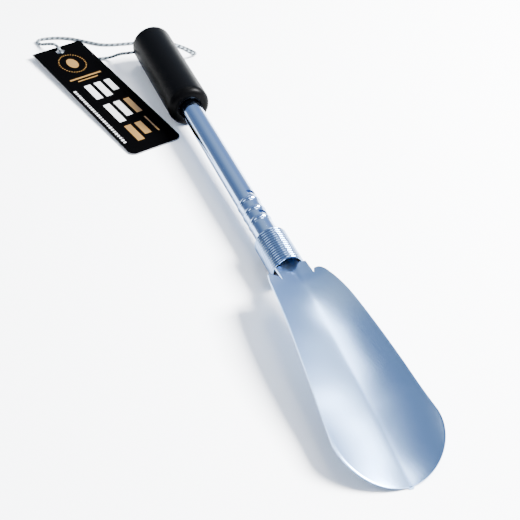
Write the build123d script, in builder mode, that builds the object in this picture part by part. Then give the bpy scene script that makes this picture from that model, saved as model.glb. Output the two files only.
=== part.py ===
"""Long shoehorn: spring-necked steel blade on a tube handle with a soft grip, hang cord and tag.

Millimetres, +Z up. The shoehorn lies on the plane Z = 0 as it would on a floor: on the near end of its
grip and on the tip of its blade, so the shaft leans by a small angle. +Y runs towards the grip.
Stations along the shaft are measured from the top of the neck spring, positive towards the grip.
"""

import os
from math import acos, atan2, cos, pi, radians, sin, sqrt, tan

from build123d import *

os.makedirs("parts", exist_ok=True)

# Shaft tube
TUBE_R = 6.35
TUBE_WALL = 1.0
TUBE_LOW = -3.0
TUBE_HIGH = 211.0
RING_STATIONS = (12.6, 21.0, 29.4)
RING_WIDTH = 2.4
RING_DEPTH = 0.45
RING_LIP = 0.25
LANCE_STATIONS = (17.4, 35.8)
LANCE_ANGLE = 25.0
LANCE_WIDTH = 4.4
LANCE_SLIT = 1.3
LANCE_RAMP = 2.8
LANCE_DEPTH = 0.6

# Grip sleeve
GRIP_R = 12.9
GRIP_LOW = 131.5
GRIP_HIGH = 216.5
GRIP_NOSE = 4.5
GRIP_LIP = 1.2
GRIP_DOME = 6.0
CORD_HOLE_STATION = 206.0
CORD_HOLE_R = 1.6

# Neck spring
WIRE_R = 0.82
COIL_PITCH = 1.7
COIL_GAP = 1.35
SPRING_LENGTH = 27.0

# Plug that joins the tube to the spring
PLUG_HIGH = 41.0
PLUG_HEAD = 4.0
PLUG_GROOVE = 1.4
PLUG_EASE = 0.05

# Plug in the grip end of the tube
CAP_LENGTH = 9.0
CAP_FLANGE = 1.5

# Blade
SHEET = 1.0
TONGUE_HALF = 4.6
TONGUE_INSIDE = 7.0
COLLAR_HALF = 8.2
NOTCH_STATION = -39.0
EAR_HALF = 12.3
EAR_STATION = -36.2
SHOULDER_HALF = 16.1
SHOULDER_STATION = -43.0
TIP_R = 25.8
TIP_STATION = -166.0

# Plug under the blade's tongue
HEEL_LOW = -27.6
HEEL_HIGH = -20.2

# Hang cord and tag
CORD_R = 1.0
KNOT_R = 2.0
KNOT_HALF = 6.0
TAG_WIDTH = 34.8
TAG_LENGTH = 135.0
TAG_THICK = 0.8
TAG_ANGLE = 12.8
TAG_CORNER_R = 5.0
TAG_HOLE_R = 2.8
TAG_HOLE_INSET = 6.0
TAG_LIFT = 2.75

# Clearances
BORE_CLEARANCE = 0.15
SLIDE_CLEARANCE = 0.05

# Resting pose: the grip's nose and the blade's tip touch the floor
LEAN = radians(1.0)
grip_nose = min(GRIP_NOSE, GRIP_R - TUBE_R - GRIP_LIP - 0.5)
REST_STATION = GRIP_LOW + grip_nose
AXIS_Z = GRIP_R / cos(LEAN) - REST_STATION * tan(LEAN)
MIDDLE = (GRIP_HIGH + TIP_STATION) / 2 * cos(LEAN)
SHAFT_DIR = Vector(0, cos(LEAN), sin(LEAN))
UP_DIR = Vector(0, -sin(LEAN), cos(LEAN))
ROOT = Vector(0, -MIDDLE, AXIS_Z)


def at(station, up=0.0, side=0.0):
    """Point at a station along the shaft, raised by up and moved sideways."""
    return ROOT + SHAFT_DIR * station + UP_DIR * up + Vector(side, 0, 0)


def section(station):
    """Plane across the shaft: local x is sideways, local y is up, facing the blade."""
    return Plane(origin=at(station), x_dir=(1, 0, 0), z_dir=-SHAFT_DIR)


# Plane through the shaft's axis: local x runs along the shaft, local y is up
LENGTHWISE = Plane(origin=ROOT, x_dir=SHAFT_DIR, z_dir=(1, 0, 0))
SHAFT_AXIS = Axis(ROOT, SHAFT_DIR)
# Plane over the shaft, facing up: local x is sideways, local y runs along the shaft
PLAN = Plane(origin=ROOT, x_dir=(1, 0, 0), z_dir=UP_DIR)

bore_r = TUBE_R - TUBE_WALL
coil_inner_r = TUBE_R + COIL_GAP
coil_mean_r = coil_inner_r + WIRE_R


def finish(piece, label):
    """Label a piece and write its STEP file."""
    piece.label = label
    export_step(piece, f"parts/{label}.step")
    print(f"{label}: {piece.volume:.1f} mm3")


def lance_plane(station, depth):
    """Plane on the tube under a lance, facing outwards, at a depth below the tube's surface."""
    turn = radians(LANCE_ANGLE)
    outward = UP_DIR * cos(turn) + Vector(sin(turn), 0, 0)
    return Plane(origin=at(station) + outward * (TUBE_R - depth), x_dir=SHAFT_DIR, z_dir=outward)


# ---- Shaft tube: three rolled rings and two lances hold the plug ----
with BuildPart() as shaft_tube:
    with BuildSketch(LENGTHWISE):
        with BuildLine():
            inside = [(TUBE_LOW, bore_r), (TUBE_HIGH, bore_r), (TUBE_HIGH, TUBE_R)]
            Polyline(*inside)
            edge = TUBE_HIGH
            for ring in reversed(RING_STATIONS):
                lip = ring + RING_WIDTH / 2
                Line((edge, TUBE_R), (lip + RING_LIP * 3, TUBE_R))
                Line((lip + RING_LIP * 3, TUBE_R), (lip, TUBE_R + RING_LIP))
                low = ring - RING_WIDTH / 2
                ThreePointArc((lip, TUBE_R + RING_LIP), (ring, TUBE_R - RING_DEPTH), (low, TUBE_R))
                edge = low
            Polyline((edge, TUBE_R), (TUBE_LOW, TUBE_R), (TUBE_LOW, bore_r))
        make_face()
    revolve(axis=SHAFT_AXIS)
    for station in LANCE_STATIONS:
        with BuildSketch(lance_plane(station, 0)):
            Rectangle(LANCE_SLIT, LANCE_WIDTH)
        extrude(amount=-2 * TUBE_WALL, both=True, mode=Mode.SUBTRACT)
        ramp_plane = Plane(origin=lance_plane(station, 0).origin, x_dir=SHAFT_DIR,
                           z_dir=lance_plane(station, 0).y_dir)
        with BuildSketch(ramp_plane):
            with BuildLine():
                Polyline((0, 0.6), (0, -LANCE_DEPTH), (-LANCE_RAMP, 0), (-LANCE_RAMP, 0.6), close=True)
            make_face()
        extrude(amount=LANCE_WIDTH / 2, both=True, mode=Mode.SUBTRACT)
    with BuildSketch(Plane(origin=at(CORD_HOLE_STATION), x_dir=SHAFT_DIR, z_dir=(1, 0, 0))):
        Circle(CORD_HOLE_R)
    extrude(amount=2 * TUBE_R, both=True, mode=Mode.SUBTRACT)
finish(shaft_tube.part, "shaft_tube")

# ---- Plug: held in the tube, with a head that the spring's top coils grip ----
plug_r = bore_r - PLUG_EASE
head_r = coil_inner_r - BORE_CLEARANCE
with BuildPart() as neck_plug:
    with BuildSketch(LENGTHWISE):
        with BuildLine():
            head_low = TUBE_LOW - PLUG_HEAD
            head_high = TUBE_LOW - SLIDE_CLEARANCE
            Polyline((head_low, 0), (head_low, head_r), (head_high, head_r), (head_high, plug_r),
                     (PLUG_HIGH, plug_r), (PLUG_HIGH, 0), close=True)
        make_face()
        for station in LANCE_STATIONS:
            with Locations((station, plug_r - PLUG_GROOVE / 2)):
                Rectangle(LANCE_SLIT + 1, PLUG_GROOVE, mode=Mode.SUBTRACT)
    revolve(axis=SHAFT_AXIS)
    chamfer(neck_plug.faces().sort_by(SHAFT_AXIS)[0].edges(), 0.6)
finish(neck_plug.part, "neck_plug")

# ---- Neck spring: one close-wound coil ----
with BuildPart() as neck_spring:
    coil_low = at(-SPRING_LENGTH + WIRE_R)
    coil_height = SPRING_LENGTH - 2 * WIRE_R
    with BuildLine() as coil_path:
        Helix(COIL_PITCH, coil_height, coil_mean_r, center=coil_low, direction=SHAFT_DIR)
    with BuildSketch(Plane(origin=coil_path.line @ 0, z_dir=coil_path.line % 0)):
        Circle(WIRE_R)
    sweep(path=coil_path.line, is_frenet=True)
finish(neck_spring.part, "neck_spring")

# ---- Blade: a pressed sheet, arched along its length and dished across it ----
tongue_end = -SPRING_LENGTH + TONGUE_INSIDE
# station, height of the middle over the shaft's axis, half width, rise of the edge over the middle
RIBS = (
    (tongue_end + 1, 4.4, 12.0, 2.4),
    (-27.0, 5.0, 12.5, 2.8),
    (-36.0, 6.0, 17.0, 5.2),
    (-45.0, 7.2, 18.0, 4.4),
    (-60.0, 7.9, 19.5, 3.9),
    (-76.0, 7.0, 21.5, 4.7),
    (-92.0, 4.9, 23.5, 5.8),
    (-108.0, 2.6, 25.5, 6.4),
    (-124.0, -0.2, 27.0, 6.6),
    (-140.0, -3.1, 27.5, 7.6),
    (-154.0, -5.2, 27.5, 8.6),
    (TIP_STATION - 2, -6.65, 27.5, 9.2),
)
tip_center = TIP_STATION + TIP_R
# The straight flank leaves the shoulder and meets the tip's circle at a tangent
shoulder_far = sqrt(SHOULDER_HALF**2 + (SHOULDER_STATION - tip_center) ** 2)
flank_turn = atan2(SHOULDER_STATION - tip_center, SHOULDER_HALF) - acos(TIP_R / shoulder_far)
flank_x = TIP_R * cos(flank_turn)
flank_y = tip_center + TIP_R * sin(flank_turn)
with BuildPart() as blade:
    for station, middle, half, rise in RIBS:
        with BuildSketch(section(station)):
            with BuildLine():
                ThreePointArc((-half, middle + rise), (0, middle), (half, middle + rise))
                Line((half, middle + rise), (half, middle + rise - SHEET))
                ThreePointArc((half, middle + rise - SHEET), (0, middle - SHEET),
                              (-half, middle + rise - SHEET))
                Line((-half, middle + rise - SHEET), (-half, middle + rise))
            make_face()
    loft()
    with BuildSketch(PLAN):
        with BuildLine():
            Polyline((0, tongue_end), (TONGUE_HALF, tongue_end), (TONGUE_HALF, -SPRING_LENGTH - 0.4),
                     (COLLAR_HALF, -SPRING_LENGTH - 0.8), (COLLAR_HALF, NOTCH_STATION),
                     (COLLAR_HALF + 1.2, EAR_STATION - 0.3), (EAR_HALF, EAR_STATION))
            ThreePointArc((EAR_HALF, EAR_STATION), (SHOULDER_HALF - 0.9, EAR_STATION - 1.9),
                          (SHOULDER_HALF, SHOULDER_STATION))
            Line((SHOULDER_HALF, SHOULDER_STATION), (flank_x, flank_y))
            ThreePointArc((flank_x, flank_y), (TIP_R * sin(pi / 4), tip_center - TIP_R * cos(pi / 4)),
                          (0, TIP_STATION))
            mirror(about=Plane.YZ)
        make_face()
    extrude(amount=40, both=True, mode=Mode.INTERSECT)
finish(blade.part, "blade")

# ---- Plug under the blade's tongue: fills the spring's bore below the sheet ----
with BuildPart() as heel_plug:
    with BuildSketch(section(HEEL_HIGH)):
        Circle(head_r)
    extrude(amount=HEEL_HIGH - HEEL_LOW)
    with BuildSketch(LENGTHWISE):
        with BuildLine():
            Polyline((HEEL_HIGH + 1, -head_r - 1), (HEEL_HIGH + 1, 4.3 - SHEET), (HEEL_LOW - 1, 4.95 - SHEET),
                     (HEEL_LOW - 1, -head_r - 1), close=True)
        make_face()
    extrude(amount=2 * head_r, both=True, mode=Mode.INTERSECT)
finish(heel_plug.part, "heel_plug")

# ---- Grip sleeve: soft tube closed by a domed end ----
with BuildPart() as grip_sleeve:
    with BuildSketch(LENGTHWISE):
        with BuildLine():
            bore = TUBE_R + SLIDE_CLEARANCE
            dome = GRIP_HIGH - GRIP_DOME
            seat = TUBE_HIGH + CAP_FLANGE + SLIDE_CLEARANCE
            Polyline((GRIP_LOW, GRIP_R - grip_nose), (GRIP_LOW, bore + GRIP_LIP))
            RadiusArc((GRIP_LOW, bore + GRIP_LIP), (GRIP_LOW + GRIP_LIP, bore), GRIP_LIP)
            Polyline((GRIP_LOW + GRIP_LIP, bore), (seat, bore), (seat, 0), (GRIP_HIGH, 0))
            EllipticalCenterArc((dome, 0), GRIP_DOME, GRIP_R, start_angle=0, arc_size=90)
            Line((dome, GRIP_R), (REST_STATION, GRIP_R))
            RadiusArc((REST_STATION, GRIP_R), (GRIP_LOW, GRIP_R - grip_nose), -grip_nose)
        make_face()
    revolve(axis=SHAFT_AXIS)
    with BuildSketch(Plane(origin=at(CORD_HOLE_STATION), x_dir=SHAFT_DIR, z_dir=(1, 0, 0))):
        Circle(CORD_HOLE_R)
    extrude(amount=2 * GRIP_R, both=True, mode=Mode.SUBTRACT)
finish(grip_sleeve.part, "grip_sleeve")

# ---- Plug in the grip end of the tube, so that the tube's edge can't cut the grip ----
with BuildPart() as tube_end_plug:
    with BuildSketch(LENGTHWISE):
        with BuildLine():
            cap_low = CORD_HOLE_STATION + KNOT_R + 0.2
            flange = TUBE_HIGH + SLIDE_CLEARANCE
            Polyline((cap_low, 0), (cap_low, plug_r), (flange, plug_r), (flange, TUBE_R - 0.2),
                     (TUBE_HIGH + CAP_FLANGE, TUBE_R - 0.2), (TUBE_HIGH + CAP_FLANGE, 0), close=True)
        make_face()
    revolve(axis=SHAFT_AXIS)
finish(tube_end_plug.part, "tube_end_plug")

# ---- Hang tag: stiff card that lies on the floor, its holed end raised by the cord under it ----
TAG_TOP_MIDDLE = Vector(-56.0, 248.8 - MIDDLE, TAG_LIFT)
tag_turn = radians(TAG_ANGLE)
tag_drop = (TAG_LIFT - 0.05) / TAG_LENGTH
tag_down = Vector(sin(tag_turn), -cos(tag_turn), -tag_drop).normalized()
tag_plane = Plane(origin=TAG_TOP_MIDDLE, x_dir=(cos(tag_turn), sin(tag_turn), 0),
                  z_dir=Vector(cos(tag_turn), sin(tag_turn), 0).cross(-tag_down))
with BuildPart() as hang_tag:
    with BuildSketch(tag_plane):
        with Locations((0, -TAG_LENGTH / 2)):
            card = Rectangle(TAG_WIDTH, TAG_LENGTH)
        fillet(card.vertices().group_by(Axis.Y)[0], TAG_CORNER_R)
        with Locations((0, -TAG_HOLE_INSET)):
            Circle(TAG_HOLE_R, mode=Mode.SUBTRACT)
    extrude(amount=TAG_THICK)
finish(hang_tag.part, "hang_tag")

# ---- Hang cord: a loop out of the grip's hole, through the tag and back in on the other side ----
hole_z = at(CORD_HOLE_STATION).Z
CORD_POINTS = (
    (-KNOT_HALF, CORD_HOLE_STATION, hole_z),
    (-17.0, CORD_HOLE_STATION, hole_z),
    (-20.0, 218.0, 8.0),
    (-25.0, 226.0, 1.7),
    (-33.0, 228.5, 1.1),
    (-46.0, 235.0, 1.1),
    (-53.8, 241.9, 1.15),
    (-56.0, 245.4, 7.8),
    (-60.5, 254.0, 4.4),
    (-64.8, 260.5, 1.1),
    (-66.0, 267.2, 1.1),
    (-57.0, 267.6, 1.1),
    (-44.5, 262.8, 1.1),
    (-35.5, 254.6, 1.1),
    (-25.0, 244.5, 1.1),
    (-10.0, 241.0, 1.1),
    (6.0, 238.5, 1.1),
    (19.0, 231.0, 1.1),
    (26.5, 220.0, 1.1),
    (30.5, 211.5, 1.1),
    (26.5, 208.3, 3.4),
    (20.8, 207.2, 8.7),
    (14.5, CORD_HOLE_STATION, hole_z),
    (KNOT_HALF, CORD_HOLE_STATION, hole_z),
)
cord_route = [Vector(x, y - MIDDLE, z) for x, y, z in CORD_POINTS]
ARC_SHARE = 0.45
cord_radii = []
for before, corner, after in zip(cord_route, cord_route[1:], cord_route[2:]):
    half_turn = radians((corner - before).get_angle(after - corner)) / 2
    shorter = min((corner - before).length, (after - corner).length)
    cord_radii.append(ARC_SHARE * shorter / tan(half_turn))
print("cord radii:", [round(r, 1) for r in cord_radii])
with BuildPart() as hang_cord:
    with BuildLine() as cord_path:
        FilletPolyline(*cord_route, radius=cord_radii)
    with BuildSketch(Plane(origin=cord_path.line @ 0, z_dir=cord_path.line % 0)):
        Circle(CORD_R)
    sweep(path=cord_path.line, is_frenet=False, transition=Transition.RIGHT)
finish(hang_cord.part, "hang_cord")
cord_length = sum(edge.length for edge in cord_path.edges())
print(f"cord length {cord_length:.1f}, volume share {hang_cord.part.volume / (pi * CORD_R**2 * cord_length):.4f}")

# ---- Knot that ties the two ends of the cord inside the tube ----
with BuildPart() as cord_knot:
    with BuildSketch(Plane(origin=at(CORD_HOLE_STATION), x_dir=(1, 0, 0), z_dir=-UP_DIR)):
        with BuildLine():
            Line((-KNOT_HALF + SLIDE_CLEARANCE, 0), (KNOT_HALF - SLIDE_CLEARANCE, 0))
            EllipticalCenterArc((0, 0), KNOT_HALF - SLIDE_CLEARANCE, KNOT_R, start_angle=0, arc_size=180)
        make_face()
    revolve(axis=Axis(at(CORD_HOLE_STATION), (1, 0, 0)))
finish(cord_knot.part, "cord_knot")
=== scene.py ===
"""Long shoehorn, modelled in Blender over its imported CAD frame. An add-on with one operator per piece."""

import math

import bmesh
import bpy
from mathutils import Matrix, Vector


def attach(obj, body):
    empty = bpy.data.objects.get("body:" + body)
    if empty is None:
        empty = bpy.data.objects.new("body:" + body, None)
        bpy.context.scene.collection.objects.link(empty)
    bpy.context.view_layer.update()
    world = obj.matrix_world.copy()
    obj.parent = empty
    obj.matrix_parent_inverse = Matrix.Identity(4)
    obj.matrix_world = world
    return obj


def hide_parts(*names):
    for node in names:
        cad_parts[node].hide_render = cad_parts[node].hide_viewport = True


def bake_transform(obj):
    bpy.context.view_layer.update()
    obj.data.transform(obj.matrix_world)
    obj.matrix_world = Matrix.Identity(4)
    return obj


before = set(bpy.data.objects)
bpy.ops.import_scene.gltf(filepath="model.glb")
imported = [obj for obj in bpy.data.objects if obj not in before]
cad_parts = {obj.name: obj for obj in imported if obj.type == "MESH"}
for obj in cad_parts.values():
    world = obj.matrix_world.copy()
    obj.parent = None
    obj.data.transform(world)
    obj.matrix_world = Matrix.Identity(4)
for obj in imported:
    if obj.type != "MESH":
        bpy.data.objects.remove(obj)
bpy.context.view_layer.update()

bl_info = {
    "name": "Long shoehorn",
    "version": (1, 0, 0),
    "blender": (4, 5, 0),
    "location": "View3D > Sidebar > Shoehorn",
    "description": "Builds a long shoehorn with a spring neck, a grip, a hang cord and a tag",
    "category": "Add Mesh",
}

# The shaft leans by one degree; stations run along it from the top of the spring, in millimetres
LEAN = math.radians(1.0)
SHAFT = Vector((0, math.cos(LEAN), math.sin(LEAN)))
UP = Vector((0, -math.sin(LEAN), math.cos(LEAN)))
SIDE = Vector((1, 0, 0))
MIDDLE = 25.246
ROOT = Vector((0, -MIDDLE, 10.528))
MM = 0.001

# Camera: place in metres, tilt and turn in degrees, lens in millimetres
CAMERA_PLACE = (-0.17199, -0.45952, 0.39048)
CAMERA_TILT = 49.86
CAMERA_TURN = -20.98
SENSOR_WIDTH = 36.0
LENS_LENGTH = 79.6

# Blade: station, height of the middle over the shaft's axis, radius across
BLADE_RIBS = (
    (-19.0, 4.4, 31.0),
    (-27.0, 5.0, 29.3),
    (-36.0, 6.0, 30.4),
    (-45.0, 7.2, 39.0),
    (-60.0, 7.9, 50.7),
    (-76.0, 7.0, 51.5),
    (-92.0, 4.9, 50.5),
    (-108.0, 2.6, 54.0),
    (-124.0, -0.2, 58.5),
    (-140.0, -3.1, 53.5),
    (-154.0, -5.2, 48.3),
    (-168.0, -6.65, 45.7),
)
TONGUE_END = -20.0
TONGUE_HALF = 4.6
NECK_HALF = 8.2
NOTCH_STATION = -39.0
SHOULDER = (16.1, -43.0)
TIP_STATION = -166.0
TIP_R = 25.8
DART_TIP = -46.0
DART_HALF = 3.4
DART_DEPTH = 0.75
MOUTH_STATION = -27.5
FOLD_SHARE = 0.34
RIM_ROUND = 0.22

# Cord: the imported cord's route, in stations for y
CORD_POINTS = (
    (-6.0, 206.0, 14.124),
    (-17.0, 206.0, 14.124),
    (-20.0, 218.0, 8.0),
    (-25.0, 226.0, 1.7),
    (-33.0, 228.5, 1.1),
    (-46.0, 235.0, 1.1),
    (-53.8, 241.9, 1.15),
    (-56.0, 245.4, 7.8),
    (-60.5, 254.0, 4.4),
    (-64.8, 260.5, 1.1),
    (-66.0, 267.2, 1.1),
    (-57.0, 267.6, 1.1),
    (-44.5, 262.8, 1.1),
    (-35.5, 254.6, 1.1),
    (-25.0, 244.5, 1.1),
    (-10.0, 241.0, 1.1),
    (6.0, 238.5, 1.1),
    (19.0, 231.0, 1.1),
    (26.5, 220.0, 1.1),
    (30.5, 211.5, 1.1),
    (26.5, 208.3, 3.4),
    (20.8, 207.2, 8.7),
    (14.5, 206.0, 14.124),
    (6.0, 206.0, 14.124),
)

# Tag: middle of its holed end, turn on the floor, and its slope down to the other end
TAG_TOP = Vector((-56.0, 248.8 - MIDDLE, 2.75))
TAG_TURN = math.radians(12.8)
TAG_LENGTH = 135.0
TAG_WIDTH = 34.8
TAG_ACROSS = Vector((math.cos(TAG_TURN), math.sin(TAG_TURN), 0))
TAG_DOWN = Vector((math.sin(TAG_TURN), -math.cos(TAG_TURN), -2.7 / TAG_LENGTH)).normalized()
TAG_UP = TAG_ACROSS.cross(-TAG_DOWN)


def at(station, up=0.0, side=0.0):
    """Point in metres at a station along the shaft, raised by up and moved sideways (mm)."""
    return (ROOT + SHAFT * station + UP * up + SIDE * side) * MM


def around(station, radius, turn):
    """Point in metres on a circle about the shaft; turn runs from the top towards +X."""
    return at(station, radius * math.cos(turn), radius * math.sin(turn))


def on_tag(across, down, lift):
    """Point in metres on the tag: across from its middle, down from its holed end, over its underside."""
    return (TAG_TOP + TAG_ACROSS * across + TAG_DOWN * down + TAG_UP * lift) * MM


def curve_value(table, column, x):
    """Smooth value of a table's column at x, through its points (first column falling)."""
    keys = [row[0] for row in table]
    if x >= keys[0]:
        return table[0][column]
    if x <= keys[-1]:
        return table[-1][column]
    i = next(k for k in range(len(keys) - 1) if keys[k + 1] <= x)
    p1, p2 = table[i], table[i + 1]
    p0 = table[max(i - 1, 0)]
    p3 = table[min(i + 2, len(table) - 1)]
    span = p2[0] - p1[0]
    t = (x - p1[0]) / span
    m1 = (p2[column] - p0[column]) / (p2[0] - p0[0]) * span
    m2 = (p3[column] - p1[column]) / (p3[0] - p1[0]) * span
    h00 = 2 * t**3 - 3 * t**2 + 1
    h10 = t**3 - 2 * t**2 + t
    h01 = -2 * t**3 + 3 * t**2
    h11 = t**3 - t**2
    return h00 * p1[column] + h10 * m1 + h01 * p2[column] + h11 * m2


def steps(low, high, count):
    """Evenly spaced values from low to high, both included."""
    return [low + (high - low) * i / count for i in range(count + 1)]


# ---------------------------------------------------------------- materials


def material(name, color, metallic=0.0, roughness=0.5, **inputs):
    """A plain Principled material."""
    mat = bpy.data.materials.new(name)
    mat.use_nodes = True
    shader = mat.node_tree.nodes["Principled BSDF"]
    shader.inputs["Base Color"].default_value = (*color, 1)
    shader.inputs["Metallic"].default_value = metallic
    shader.inputs["Roughness"].default_value = roughness
    for key, value in inputs.items():
        shader.inputs[key.replace("_", " ")].default_value = value
    return mat


def bump(mat, scale, strength, distance, stretch=(1, 1, 1)):
    """Fine noise relief in object coordinates."""
    tree = mat.node_tree
    coord = tree.nodes.new("ShaderNodeTexCoord")
    mapping = tree.nodes.new("ShaderNodeMapping")
    mapping.inputs["Scale"].default_value = stretch
    noise = tree.nodes.new("ShaderNodeTexNoise")
    noise.inputs["Scale"].default_value = scale
    noise.inputs["Detail"].default_value = 3
    relief = tree.nodes.new("ShaderNodeBump")
    relief.inputs["Strength"].default_value = strength
    relief.inputs["Distance"].default_value = distance
    tree.links.new(coord.outputs["Object"], mapping.inputs["Vector"])
    tree.links.new(mapping.outputs["Vector"], noise.inputs["Vector"])
    tree.links.new(noise.outputs["Fac"], relief.inputs["Height"])
    tree.links.new(relief.outputs["Normal"], tree.nodes["Principled BSDF"].inputs["Normal"])
    return mat


def ply_material(name, first, second, plies, pitch):
    """Twisted yarn: colours alternate round and along the cord, read from the piece's own UV."""
    mat = material(name, first, roughness=0.85)
    tree = mat.node_tree
    uv = tree.nodes.new("ShaderNodeUVMap")
    uv.uv_map = "lay"
    split = tree.nodes.new("ShaderNodeSeparateXYZ")
    wave = tree.nodes.new("ShaderNodeMath")
    wave.operation = "SINE"
    turn = tree.nodes.new("ShaderNodeMath")
    turn.operation = "MULTIPLY"
    turn.inputs[1].default_value = 2 * math.pi * plies
    ramp = tree.nodes.new("ShaderNodeValToRGB")
    ramp.color_ramp.elements[0].position = 0.35
    ramp.color_ramp.elements[0].color = (*first, 1)
    ramp.color_ramp.elements[1].position = 0.65
    ramp.color_ramp.elements[1].color = (*second, 1)
    half = tree.nodes.new("ShaderNodeMath")
    half.operation = "MULTIPLY_ADD"
    half.inputs[1].default_value = 0.5
    half.inputs[2].default_value = 0.5
    fibre = tree.nodes.new("ShaderNodeTexWave")
    fibre.inputs["Scale"].default_value = pitch
    fibre.inputs["Distortion"].default_value = 1.5
    relief = tree.nodes.new("ShaderNodeBump")
    relief.inputs["Strength"].default_value = 0.35
    relief.inputs["Distance"].default_value = 0.0002
    tree.links.new(uv.outputs["UV"], split.inputs["Vector"])
    tree.links.new(split.outputs["Y"], turn.inputs[0])
    tree.links.new(turn.outputs[0], wave.inputs[0])
    tree.links.new(wave.outputs[0], half.inputs[0])
    tree.links.new(half.outputs[0], ramp.inputs["Fac"])
    tree.links.new(ramp.outputs["Color"], tree.nodes["Principled BSDF"].inputs["Base Color"])
    tree.links.new(uv.outputs["UV"], fibre.inputs["Vector"])
    tree.links.new(fibre.outputs["Fac"], relief.inputs["Height"])
    tree.links.new(relief.outputs["Normal"], tree.nodes["Principled BSDF"].inputs["Normal"])
    return mat


# ---------------------------------------------------------------- mesh helpers


def add_object(name, bm, mats, body=None, sharp=38):
    """Finish a bmesh as a named object in the scene, smooth but for its sharp edges."""
    bmesh.ops.recalc_face_normals(bm, faces=bm.faces[:])
    mesh = bpy.data.meshes.new(name)
    bm.to_mesh(mesh)
    bm.free()
    for mat in mats:
        mesh.materials.append(mat)
    mesh.shade_smooth()
    mesh.set_sharp_from_angle(angle=math.radians(sharp))
    obj = bpy.data.objects.new(name, mesh)
    bpy.context.scene.collection.objects.link(obj)
    if body:
        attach(obj, body)
    return obj


def skin(bm, rings, closed_ring=True, cap_ends=True):
    """Quads between rows of points, with n-gon caps on the first and last rows."""
    rows = [[bm.verts.new(p) for p in ring] for ring in rings]
    count = len(rows[0])
    last = count if closed_ring else count - 1
    for a, b in zip(rows, rows[1:]):
        for i in range(last):
            j = (i + 1) % count
            bm.faces.new((a[i], a[j], b[j], b[i]))
    if cap_ends:
        bm.faces.new(rows[0][::-1])
        bm.faces.new(rows[-1])
    return rows


def tube_along(bm, points, radius_at, segments, uv_name=None, lay_mm=None):
    """Tube along points, in metres, its section kept from twisting; radius_at(i, turn) is in metres too."""
    tangents = []
    for i, p in enumerate(points):
        a = points[max(i - 1, 0)]
        b = points[min(i + 1, len(points) - 1)]
        tangents.append((b - a).normalized())
    normal = tangents[0].orthogonal().normalized()
    run = 0.0
    rings = []
    lays = []
    for i, p in enumerate(points):
        if i:
            run += (p - points[i - 1]).length
        normal = (normal - tangents[i] * normal.dot(tangents[i])).normalized()
        across = tangents[i].cross(normal)
        lay = run / (lay_mm * MM) if lay_mm else 0.0
        ring = []
        row = []
        for k in range(segments):
            turn = 2 * math.pi * k / segments
            r = radius_at(i, turn + 2 * math.pi * lay)
            ring.append(p + normal * (r * math.cos(turn)) + across * (r * math.sin(turn)))
            row.append((run / MM, k / segments + lay))
        rings.append(ring)
        lays.append(row)
    rows = skin(bm, rings)
    if uv_name:
        layer = bm.loops.layers.uv.new(uv_name)
        place = {v: (i, k) for i, ring in enumerate(rows) for k, v in enumerate(ring)}
        for face in bm.faces:
            spots = [place[loop.vert] for loop in face.loops]
            wraps = max(k for _, k in spots) == segments - 1 and min(k for _, k in spots) == 0
            for loop in face.loops:
                i, k = place[loop.vert]
                u, v = lays[i][k]
                if wraps and k == 0:
                    v += 1.0
                loop[layer].uv = (u, v)


# ---------------------------------------------------------------- sizes


class ShoehornSizes(bpy.types.PropertyGroup):
    """Sizes of the modelled pieces; changing one rebuilds nothing until its operator runs."""

    tube_radius: bpy.props.FloatProperty(
        name="Tube radius", description="Outer radius of the shaft tube", default=0.00635, unit="LENGTH"
    )
    grip_radius: bpy.props.FloatProperty(
        name="Grip radius", description="Outer radius of the grip", default=0.0129, unit="LENGTH"
    )
    wire_radius: bpy.props.FloatProperty(
        name="Wire radius", description="Radius of the spring's wire", default=0.00074, unit="LENGTH"
    )
    coil_radius: bpy.props.FloatProperty(
        name="Coil radius", description="Radius of the coil along its wire", default=0.00852, unit="LENGTH"
    )
    sheet: bpy.props.FloatProperty(
        name="Blade sheet", description="Thickness of the blade", default=0.001, unit="LENGTH"
    )
    cord_radius: bpy.props.FloatProperty(
        name="Cord radius", description="Radius of the hang cord", default=0.001, unit="LENGTH"
    )
    card: bpy.props.FloatProperty(
        name="Card", description="Thickness of the hang tag", default=0.0008, unit="LENGTH"
    )


def sizes():
    """The scene's sizes."""
    return bpy.context.scene.shoehorn_sizes


# ---------------------------------------------------------------- operators


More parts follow.
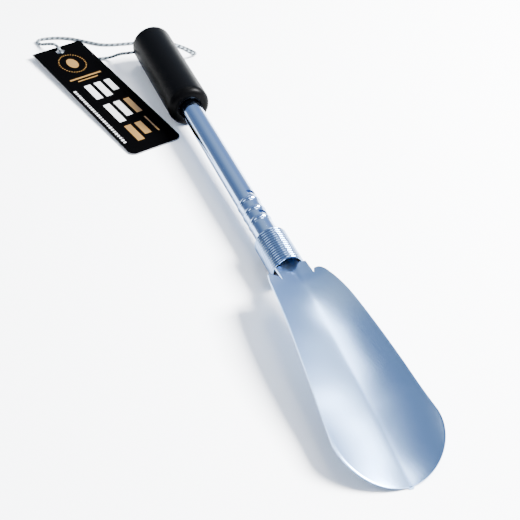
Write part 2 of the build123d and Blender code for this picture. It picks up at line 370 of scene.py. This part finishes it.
class SHOEHORN_OT_stage(bpy.types.Operator):
    """Camera, floor and soft studio light"""

    bl_idname = "shoehorn.stage"
    bl_label = "Camera and stage"

    def studio(self):
        """Soft surroundings: white low down and to the right, blue bands higher up, darker to the left."""
        world = bpy.data.worlds.new("studio")
        world.use_nodes = True
        tree = world.node_tree
        shade = tree.nodes["Background"]
        shade.inputs["Strength"].default_value = 1.8
        coord = tree.nodes.new("ShaderNodeTexCoord")
        split = tree.nodes.new("ShaderNodeSeparateXYZ")
        ramp = tree.nodes.new("ShaderNodeValToRGB")
        bands = ((0.04, (1.0, 1.0, 1.0)), (0.15, (0.55, 0.66, 0.88)), (0.35, (0.34, 0.46, 0.72)),
                 (0.56, (0.45, 0.58, 0.82)), (0.68, (0.72, 0.84, 1.0)), (0.80, (0.95, 0.98, 1.0)),
                 (0.88, (0.30, 0.42, 0.66)), (1.0, (0.22, 0.32, 0.55)))
        ramp.color_ramp.elements[0].position = bands[0][0]
        ramp.color_ramp.elements[0].color = (*bands[0][1], 1)
        ramp.color_ramp.elements[1].position = bands[-1][0]
        ramp.color_ramp.elements[1].color = (*bands[-1][1], 1)
        for place, color in bands[1:-1]:
            ramp.color_ramp.elements.new(place).color = (*color, 1)
        side = tree.nodes.new("ShaderNodeMath")
        side.operation = "MULTIPLY_ADD"
        side.inputs[1].default_value = 0.55
        side.inputs[2].default_value = 0.85
        blend = tree.nodes.new("ShaderNodeVectorMath")
        blend.operation = "SCALE"
        tree.links.new(coord.outputs["Generated"], split.inputs["Vector"])
        tree.links.new(split.outputs["Z"], ramp.inputs["Fac"])
        tree.links.new(split.outputs["X"], side.inputs[0])
        tree.links.new(ramp.outputs["Color"], blend.inputs[0])
        tree.links.new(side.outputs[0], blend.inputs["Scale"])
        tree.links.new(blend.outputs["Vector"], shade.inputs["Color"])
        return world

    def execute(self, context):
        scene = context.scene
        lens = bpy.data.cameras.new("camera")
        lens.sensor_width = SENSOR_WIDTH
        lens.lens = LENS_LENGTH
        camera = bpy.data.objects.new("camera", lens)
        camera.location = CAMERA_PLACE
        camera.rotation_euler = (math.radians(CAMERA_TILT), 0, math.radians(CAMERA_TURN))
        scene.collection.objects.link(camera)
        scene.camera = camera

        bm = bmesh.new()
        bmesh.ops.create_grid(bm, x_segments=1, y_segments=1, size=6.0)
        floor = add_object("floor", bm, [material("floor_white", (0.9, 0.9, 0.9), roughness=0.9)])

        def area(name, place, target, size, energy, color=(1, 1, 1)):
            """A rectangular light that faces target."""
            data = bpy.data.lights.new(name, "AREA")
            data.shape = "RECTANGLE"
            data.size, data.size_y = size
            data.energy = energy
            data.color = color
            lamp = bpy.data.objects.new(name, data)
            lamp.location = place
            lamp.rotation_euler = (Vector(target) - Vector(place)).to_track_quat("-Z", "Y").to_euler()
            scene.collection.objects.link(lamp)

        area("key", (0.85, -0.15, 0.80), (0, 0.0, 0), (0.45, 0.45), 190.0)
        area("fill", (-0.9, 0.3, 1.1), (0, 0, 0), (0.5, 0.7), 7.0, (0.92, 0.96, 1.0))
        area("back", (0.42, 0.62, 1.30), (0, -0.1, 0), (0.35, 0.7), 13.0)
        scene.world = self.studio()
        return {"FINISHED"}


class SHOEHORN_OT_cord(bpy.types.Operator):
    """Two-ply hang cord through the grip and the tag"""

    bl_idname = "shoehorn.cord"
    bl_label = "Hang cord"

    def execute(self, context):
        route = [Vector((x, y - MIDDLE, z)) * MM for x, y, z in CORD_POINTS]
        line = bpy.data.curves.new("cord_line", "CURVE")
        line.dimensions = "3D"
        spline = line.splines.new("NURBS")
        spline.points.add(len(route) - 1)
        for point, place in zip(spline.points, route):
            point.co = (*place, 1)
        spline.order_u = 3
        spline.use_endpoint_u = True
        spline.resolution_u = 16
        guide = bpy.data.objects.new("cord_line", line)
        context.scene.collection.objects.link(guide)
        context.view_layer.update()
        mesh = bpy.data.meshes.new_from_object(guide.evaluated_get(context.evaluated_depsgraph_get()))
        path = [v.co.copy() for v in mesh.vertices]
        bpy.data.meshes.remove(mesh)
        bpy.data.objects.remove(guide)
        length = sum((b - a).length for a, b in zip(path, path[1:]))
        even = []
        want = length / 620
        spare = 0.0
        for a, b in zip(path, path[1:]):
            gap = (b - a).length
            place = spare
            while place < gap:
                even.append(a.lerp(b, place / gap))
                place += want
            spare = place - gap
        even.append(path[-1])
        radius = sizes().cord_radius
        bm = bmesh.new()
        tube_along(
            bm, even, lambda i, turn: radius * (0.80 + 0.22 * math.cos(turn) ** 2), 16, "lay", 3.6
        )
        yarn = ply_material("cord_yarn", (0.15, 0.18, 0.20), (0.015, 0.02, 0.025), 1, 1.6)
        cord = add_object("cord", bm, [yarn], "handle", 80)
        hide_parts("hang_cord")
        return {"FINISHED"}


class SHOEHORN_OT_tube(bpy.types.Operator):
    """Plated tube with three rolled rings and two lances"""

    bl_idname = "shoehorn.tube"
    bl_label = "Shaft tube"

    def execute(self, context):
        outer = sizes().tube_radius / MM
        wall = 1.0
        rings = (12.6, 21.0, 29.4)
        ring_half = 1.2
        ring_depth = 0.55
        lances = (17.4, 35.8)
        lance_turn = math.radians(25)
        lance_half = 2.3
        slit_half = 0.65
        ramp_reach = 3.2

        def radius(station, turn):
            """Outside of the tube, with its rings, lips and lances."""
            r = outer
            for ring in rings:
                off = station - ring
                if abs(off) < ring_half:
                    r -= ring_depth * (1 - (off / ring_half) ** 2)
                elif off >= ring_half:
                    r += 0.28 * math.exp(-(((off - 1.35) / 0.35) ** 2))
                else:
                    r += 0.10 * math.exp(-(((off + 1.35) / 0.35) ** 2))
            for lance in lances:
                reach = abs(turn - lance_turn) * outer
                if reach < lance_half:
                    edge = min(1.0, (lance_half - reach) / 0.35)
                    off = station - lance
                    if abs(off) < slit_half:
                        r -= 1.6 * edge
                    elif -ramp_reach < off <= -slit_half:
                        r -= 0.55 * edge * (off + ramp_reach) / (ramp_reach - slit_half)
            return r

        stations = steps(-3.0, 9.0, 24) + steps(9.2, 40.0, 210) + steps(42.0, 211.0, 60)
        bm = bmesh.new()
        rows = []
        count = 160
        for station in stations:
            row = []
            for k in range(count):
                turn = 2 * math.pi * k / count
                signed = turn if turn < math.pi else turn - 2 * math.pi
                row.append(around(station, radius(station, signed), turn))
            rows.append(row)
        inner = outer - wall
        for station in (211.0, 120.0, -2.9, -3.0):
            rows.append([around(station, inner, 2 * math.pi * k / count) for k in range(count)])
        grid = skin(bm, rows, cap_ends=False)
        for i in range(count):
            j = (i + 1) % count
            bm.faces.new((grid[-1][i], grid[-1][j], grid[0][j], grid[0][i]))
        # Painted reflection: the blue tint in this chrome's base colour stands in for the blue studio
        # surroundings it reflects
        chrome = material("tube_chrome_painted_reflection", (0.24, 0.34, 0.52), 1.0, 0.09)
        tube = add_object("tube", bm, [chrome], "handle", 45)
        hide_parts("shaft_tube")
        return {"FINISHED"}


class SHOEHORN_OT_spring(bpy.types.Operator):
    """Close-wound neck spring, in two halves"""

    bl_idname = "shoehorn.spring"
    bl_label = "Neck spring"

    def execute(self, context):
        wire = sizes().wire_radius
        coil = sizes().coil_radius / MM
        # Painted reflection: the blue tint in this chrome's base colour stands in for the blue studio
        # surroundings it reflects
        chrome = material("spring_chrome_painted_reflection", (0.19, 0.28, 0.44), 1.0, 0.14)
        pitch = 1.7
        low, high, split = -26.18, -0.82, -12.6
        halves = []
        for name, a, b in (("spring_upper", split, high), ("spring_lower", low, split)):
            first = (a - low) / pitch
            last = (b - low) / pitch
            count = int((last - first) * 84)
            path = []
            for i in range(count + 1):
                turns = first + (last - first) * i / count
                path.append(around(low + turns * pitch, coil, 2 * math.pi * turns + math.pi))
            bm = bmesh.new()
            tube_along(bm, path, lambda i, turn: wire, 14)
            halves.append(add_object(name, bm, [chrome], None, 60))
        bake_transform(halves[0])
        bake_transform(halves[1])
        for half in halves:
            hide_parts("neck_spring")
        return {"FINISHED"}


class SHOEHORN_OT_blade(bpy.types.Operator):
    """Pressed blade: dished across, arched along, with a dart, ears and a centre crease"""

    bl_idname = "shoehorn.blade"
    bl_label = "Blade"

    def height(self, station, x):
        """Top of the sheet over the shaft's axis."""
        middle = curve_value(BLADE_RIBS, 1, station)
        radius = curve_value(BLADE_RIBS, 2, station)
        half = self.half(station)
        bowl = radius - math.sqrt(radius**2 - x**2)
        rim = radius - math.sqrt(radius**2 - half**2)
        fold = rim * (math.sqrt(x * x + 1.2) - math.sqrt(1.2)) / half
        share = FOLD_SHARE * min(1.0, max(0.0, (-38.0 - station) / 14.0))
        z = middle + bowl * (1 - share) + fold * share
        if station > DART_TIP:
            run = (station - DART_TIP) / (MOUTH_STATION - DART_TIP)
            wide = max(DART_HALF * run, 0.01)
            z -= DART_DEPTH * run * max(0.0, 1 - abs(x) / wide)
        return z

    def edge(self, station, sign):
        """Half width on one side: the right shoulder (sign 1) is cut back more than the left."""
        back = max(0.0, min(1.0, (station + 64.0) / 25.0))
        return self.half(station) - (2.5 * back * back if sign > 0 else 0.0)

    def half(self, station):
        """Half width of the blade's outline, ears left out."""
        if station > SHOULDER[1]:
            return SHOULDER[0] - 0.55 * ((station - SHOULDER[1]) / 4.0) ** 2
        center = TIP_STATION + TIP_R
        far = math.hypot(SHOULDER[0], SHOULDER[1] - center)
        turn = math.atan2(SHOULDER[1] - center, SHOULDER[0]) - math.acos(TIP_R / far)
        flank = (TIP_R * math.cos(turn), center + TIP_R * math.sin(turn))
        if station > flank[1]:
            t = (SHOULDER[1] - station) / (SHOULDER[1] - flank[1])
            return SHOULDER[0] + t * (flank[0] - SHOULDER[0])
        return math.sqrt(max(TIP_R**2 - (station - center) ** 2, 0.0))

    def execute(self, context):
        bm = bmesh.new()

        def vert(station, x):
            """A point on the top of the sheet."""
            return bm.verts.new(at(station, self.height(station, x), x))

        neck_cols = 24
        ear_cols = 10
        # Tongue and neck strip
        stations = steps(TONGUE_END, -27.4, 12) + [-27.8] + steps(-28.4, NOTCH_STATION, 24)
        strip = []
        for station in stations:
            if station >= -27.4:
                half = TONGUE_HALF
            elif station > -28.2:
                half = (TONGUE_HALF + NECK_HALF) / 2
            else:
                half = NECK_HALF
            strip.append([vert(station, x) for x in steps(-half, half, neck_cols)])
        # Main dish: rows get closer together towards the tip
        center = TIP_STATION + TIP_R
        below = steps(NOTCH_STATION, center, 90)[1:]
        for i in range(1, 49):
            turn = math.pi / 2 * i / 49
            below.append(center - TIP_R * math.sin(turn))
        dish = []
        for station in [NOTCH_STATION] + below:
            sides = []
            for sign in (-1, 1):
                half = self.edge(station, sign)
                inner = NECK_HALF * half / self.edge(NOTCH_STATION, sign)
                sides.append((half, inner))
            (lh, li), (rh, ri) = sides
            left = [-lh + (lh - li) * i / ear_cols for i in range(ear_cols)]
            right = [rh - (rh - ri) * i / ear_cols for i in range(ear_cols)][::-1]
            if station == NOTCH_STATION:
                row = [vert(station, x) for x in left] + strip[-1] + [vert(station, x) for x in right]
            else:
                row = [vert(station, x) for x in left + steps(-li, ri, neck_cols) + right]
            dish.append(row)
        for rows in (strip, dish):
            for a, b in zip(rows, rows[1:]):
                for i in range(len(a) - 1):
                    bm.faces.new((a[i], b[i], b[i + 1], a[i + 1]))
        bm.faces.new(dish[-1])
        # Ears
        tops = {
            -1: ((9.3, -36.0), (10.6, -35.1), (12.3, -34.4), (13.9, -34.2), (14.9, -35.2), (15.3, -39.0)),
            1: ((9.3, -36.4), (9.9, -36.2), (10.8, -36.4), (11.7, -36.9), (12.5, -37.8), (13.0, -39.0)),
        }
        for sign in (-1, 1):
            top = tops[sign]
            count = ear_cols
            side = dish[0][: count + 1][::-1] if sign < 0 else dish[0][-count - 1 :]
            rows = [side]
            for r in range(1, 6):
                t = r / 5
                row = []
                for i, foot in enumerate(side[:-1]):
                    share = i / count * (len(top) - 1)
                    k = min(int(share), len(top) - 2)
                    f = share - k
                    tx = top[k][0] + (top[k + 1][0] - top[k][0]) * f
                    ty = top[k][1] + (top[k + 1][1] - top[k][1]) * f
                    fx = NECK_HALF + (self.edge(NOTCH_STATION, sign) - NECK_HALF) * i / count
                    x = fx + (tx - fx) * t
                    station = NOTCH_STATION + (ty - NOTCH_STATION) * t
                    row.append(vert(station, sign * x))
                rows.append(row + [side[-1]])
            for a, b in zip(rows, rows[1:]):
                for i in range(count):
                    quad = [a[i], a[i + 1], b[i + 1], b[i]]
                    quad = [v for k, v in enumerate(quad) if v not in quad[:k]]
                    bm.faces.new(quad if sign > 0 else quad[::-1])
        bmesh.ops.recalc_face_normals(bm, faces=bm.faces[:])
        if sum(f.normal.z for f in bm.faces) < 0:
            bmesh.ops.reverse_faces(bm, faces=bm.faces[:])
        bmesh.ops.solidify(bm, geom=bm.faces[:], thickness=sizes().sheet)
        bm.normal_update()
        corner_angle = math.radians(55)
        corners = [e for e in bm.edges if len(e.link_faces) == 2 and e.calc_face_angle(0) > corner_angle]
        bmesh.ops.bevel(
            bm, geom=corners, offset=RIM_ROUND * MM, segments=2, profile=0.5, affect="EDGES",
            material=-1, clamp_overlap=True,
        )
        # Painted reflection: the blue tint in this chrome's base colour stands in for the blue studio
        # surroundings it reflects
        chrome = material("blade_chrome_painted_reflection", (0.23, 0.34, 0.52), 1.0, 0.22)
        bump(chrome, 60, 0.05, 0.0004)
        blade = add_object("blade_shell", bm, [chrome], "blade", 50)
        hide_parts("blade")
        return {"FINISHED"}


class SHOEHORN_OT_grip(bpy.types.Operator):
    """Soft grip with a domed end and a cross hole for the cord"""

    bl_idname = "shoehorn.grip"
    bl_label = "Grip"

    def execute(self, context):
        outer = sizes().grip_radius / MM
        bore = 6.42
        lip = 1.6
        low, high, nose, dome = 131.5, 216.5, 4.5, 6.0
        hole, hole_r, hole_depth = 206.0, 1.9, 5.2
        profile = [(150.0, bore), (133.0, bore)]
        for i in range(6):
            turn = math.pi / 2 * i / 5
            profile.append((low + lip - lip * math.sin(turn), bore + lip - lip * math.cos(turn)))
        for i in range(13):
            turn = math.pi / 2 * i / 12
            profile.append((low + nose - nose * math.cos(turn), outer - nose + nose * math.sin(turn)))
        profile += [(s, outer) for s in steps(138.0, 202.5, 24)]
        profile += [(s, outer) for s in steps(203.0, 209.0, 30)]
        for i in range(20):
            turn = math.pi / 2 * i / 20
            profile.append((high - dome + dome * math.sin(turn), outer * math.cos(turn) ** 0.85))
        count = 192
        bm = bmesh.new()
        rows = []
        for station, r in profile:
            row = []
            for k in range(count):
                turn = 2 * math.pi * k / count
                away = math.hypot(station - hole, outer * math.cos(turn))
                depth = r
                if r > outer - 0.1 and away < hole_r:
                    depth = r - hole_depth * min(1.0, (hole_r - away) / 0.45)
                row.append(around(station, depth, turn))
            rows.append(row)
        grid = skin(bm, rows, cap_ends=False)
        pole = bm.verts.new(at(high))
        for i in range(count):
            bm.faces.new((grid[-1][i], grid[-1][(i + 1) % count], pole))
        bm.faces.new(grid[0])
        rubber = material("grip_black", (0.0006, 0.0006, 0.0007), 0.0, 0.36, Specular_IOR_Level=0.02)
        bump(rubber, 1800, 0.15, 0.0001)
        grip = add_object("grip", bm, [rubber], "handle", 40)
        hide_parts("grip_sleeve")
        return {"FINISHED"}


class SHOEHORN_OT_tag(bpy.types.Operator):
    """Card hang tag with plain printed shapes"""

    bl_idname = "shoehorn.tag"
    bl_label = "Hang tag"

    def execute(self, context):
        thick = sizes().card / MM
        half = TAG_WIDTH / 2
        corner = 4.5
        eye_r = 2.8
        eye_inset = 6.0
        outline = [(-half, 0.0), (half, 0.0)]
        for side, first in ((1, 0.0), (-1, math.pi / 2)):
            for turn in steps(first, first + math.pi / 2, 8):
                x = side * (half - corner) + corner * math.cos(turn)
                outline.append((x, TAG_LENGTH - corner + corner * math.sin(turn)))
        turns = [2 * math.pi * k / 32 for k in range(32)]
        eye = [(eye_r * math.cos(turn), eye_inset + eye_r * math.sin(turn)) for turn in turns]
        bm = bmesh.new()
        loops = []
        for points in (outline, eye):
            verts = [bm.verts.new(on_tag(x, y, thick)) for x, y in points]
            loops += [bm.edges.new((a, b)) for a, b in zip(verts, verts[1:] + verts[:1])]
        bmesh.ops.triangle_fill(bm, use_beauty=True, edges=loops, normal=TAG_UP)
        bmesh.ops.recalc_face_normals(bm, faces=bm.faces[:])
        if sum(f.normal.z for f in bm.faces) < 0:
            bmesh.ops.reverse_faces(bm, faces=bm.faces[:])
        top = bm.faces[:]
        bmesh.ops.solidify(bm, geom=top, thickness=thick * MM)
        black = material("card_black", (0.0006, 0.0006, 0.0007), 0.0, 0.5, Specular_IOR_Level=0.0)
        cut = material("card_edge", (0.16, 0.16, 0.17), 0.0, 0.8)
        bm.normal_update()
        for face in bm.faces:
            face.material_index = 1 if abs(face.normal.dot(TAG_UP)) < 0.5 else 0
        tag = add_object("tag_card", bm, [black, cut], "tag", 30)
        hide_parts("hang_tag")

        gold = material("print_gold", (0.12, 0.060, 0.006), 0.0, 0.5)
        white = material("print_white", (0.42, 0.42, 0.42), 0.0, 0.5)
        bm = bmesh.new()

        def patch(points, slot):
            """A thin printed shape on the card."""
            low = [bm.verts.new(on_tag(x, y, thick - 0.01)) for x, y in points]
            high = [bm.verts.new(on_tag(x, y, thick + 0.03)) for x, y in points]
            faces = [bm.faces.new(low), bm.faces.new(high[::-1])]
            for i in range(len(points)):
                j = (i + 1) % len(points)
                faces.append(bm.faces.new((low[i], high[i], high[j], low[j])))
            for face in faces:
                face.material_index = slot

        def bar(x, y, wide, tall, slot):
            """A printed bar about its middle."""
            w, t = wide / 2, tall / 2
            patch([(x - w, y - t), (x + w, y - t), (x + w, y + t), (x - w, y + t)], slot)

        def oval(x, y, rx, ry, slot, count=24):
            """A printed oval about its middle."""
            turns = [2 * math.pi * k / count for k in range(count)]
            patch([(x + rx * math.cos(a), y + ry * math.sin(a)) for a in turns], slot)

        for k in range(34):
            turn = 2 * math.pi * k / 34
            oval(8.2 * math.cos(turn), 24 + 11.5 * math.sin(turn), 0.42, 0.42, 0, 8)
        oval(0, 24, 3.4, 6.2, 0)
        bar(0, 42.5, 22, 1.5, 0)
        bar(0, 46.0, 14, 1.0, 0)
        for x, y, wide, tall, slot in (
            (-4.4, 62, 4.4, 18, 1), (2.6, 62, 4.4, 18, 1), (9.4, 60, 4.0, 14, 1),
            (-4.4, 90, 4.4, 22, 1), (2.6, 88, 4.4, 18, 1), (9.4, 88, 4.0, 18, 0),
            (-4.4, 115, 4.4, 18, 0), (2.6, 113, 4.4, 14, 0), (9.4, 112, 1.0, 18, 0),
        ):
            bar(x, y, wide, tall, slot)
        for k in range(26):
            bar(-half + 3.2, 56 + 2.6 * k, 1.6, 1.2 if k % 3 else 1.8, 1)
        add_object("tag_print", bm, [gold, white], "tag", 30)
        return {"FINISHED"}


class SHOEHORN_OT_plugs(bpy.types.Operator):
    """Finishes for the plugs and the knot, which keep their CAD shapes"""

    bl_idname = "shoehorn.plugs"
    bl_label = "Plugs and knot"

    def execute(self, context):
        plastic = material("plug_black", (0.003, 0.003, 0.0035), 0.0, 0.5, Specular_IOR_Level=0.1)
        yarn = material("knot_yarn", (0.05, 0.055, 0.06), 0.0, 0.85)
        for name, mat in (
            ("neck_plug", plastic), ("heel_plug", plastic), ("tube_end_plug", plastic), ("cord_knot", yarn)
        ):
            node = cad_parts[name]
            node.data.materials.clear()
            node.data.materials.append(mat)
        return {"FINISHED"}


class SHOEHORN_PT_panel(bpy.types.Panel):
    """Builds the shoehorn's pieces one by one"""

    bl_idname = "SHOEHORN_PT_panel"
    bl_label = "Long shoehorn"
    bl_space_type = "VIEW_3D"
    bl_region_type = "UI"
    bl_category = "Shoehorn"

    def draw(self, context):
        for name in ShoehornSizes.__annotations__:
            self.layout.prop(context.scene.shoehorn_sizes, name)
        for operator in PIECES:
            self.layout.operator(operator.bl_idname)


PIECES = (
    SHOEHORN_OT_stage,
    SHOEHORN_OT_cord,
    SHOEHORN_OT_tube,
    SHOEHORN_OT_spring,
    SHOEHORN_OT_blade,
    SHOEHORN_OT_grip,
    SHOEHORN_OT_tag,
    SHOEHORN_OT_plugs,
)
CLASSES = (ShoehornSizes, *PIECES, SHOEHORN_PT_panel)


def register():
    """Make the operators, the panel and the scene's sizes known to Blender."""
    for cls in CLASSES:
        bpy.utils.register_class(cls)
    bpy.types.Scene.shoehorn_sizes = bpy.props.PointerProperty(type=ShoehornSizes)


def unregister():
    """Undo register."""
    del bpy.types.Scene.shoehorn_sizes
    for cls in reversed(CLASSES):
        bpy.utils.unregister_class(cls)


def main():
    """Build every piece in order."""
    register()
    bpy.ops.shoehorn.stage()
    bpy.ops.shoehorn.cord()
    bpy.ops.shoehorn.tube()
    bpy.ops.shoehorn.spring()
    bpy.ops.shoehorn.blade()
    bpy.ops.shoehorn.grip()
    bpy.ops.shoehorn.tag()
    bpy.ops.shoehorn.plugs()


if __name__ == "__main__":
    main()
